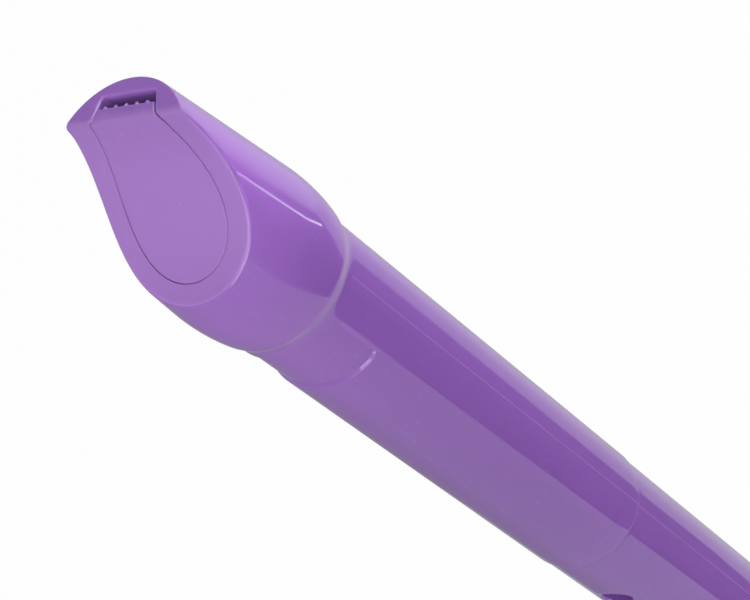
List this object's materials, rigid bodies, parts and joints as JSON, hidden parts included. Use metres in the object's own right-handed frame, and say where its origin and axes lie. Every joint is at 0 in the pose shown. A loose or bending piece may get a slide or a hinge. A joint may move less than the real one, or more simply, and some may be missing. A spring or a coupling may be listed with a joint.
{
  "type": "recorder",
  "caption": "Straight plastic recorder: beaked head with a plugged windway and labium window, tapered body with finger and thumb holes, and a flared foot that turns.",
  "frame": {"origin": "centre of the foot's flat end, on the bore axis", "axes": "+Z along the bore towards the beak, -Y the side of the window and finger holes, +Y the thumb side"},
  "size_m": [0.0272, 0.0272, 0.326],
  "materials": {
    "gloss_purple": "moulded gloss",
    "satin_purple": "moulded satin"
  },
  "bodies": {
    "middle": {"middle_joint": "gloss_purple"},
    "head": {"head_joint": "gloss_purple", "windway_block": "satin_purple"},
    "foot": {"foot_joint": "gloss_purple"}
  },
  "joints": [
    {"name": "head_slide", "type": "slide", "parent": "middle", "child": "head", "axis": [0, 0, 1], "range_m": [0, 0.02]},
    {"name": "foot_turn", "type": "hinge", "parent": "middle", "child": "foot", "pos_m": [0, 0, 0], "axis": [0, 0, 1], "continuous": true}
  ]
}
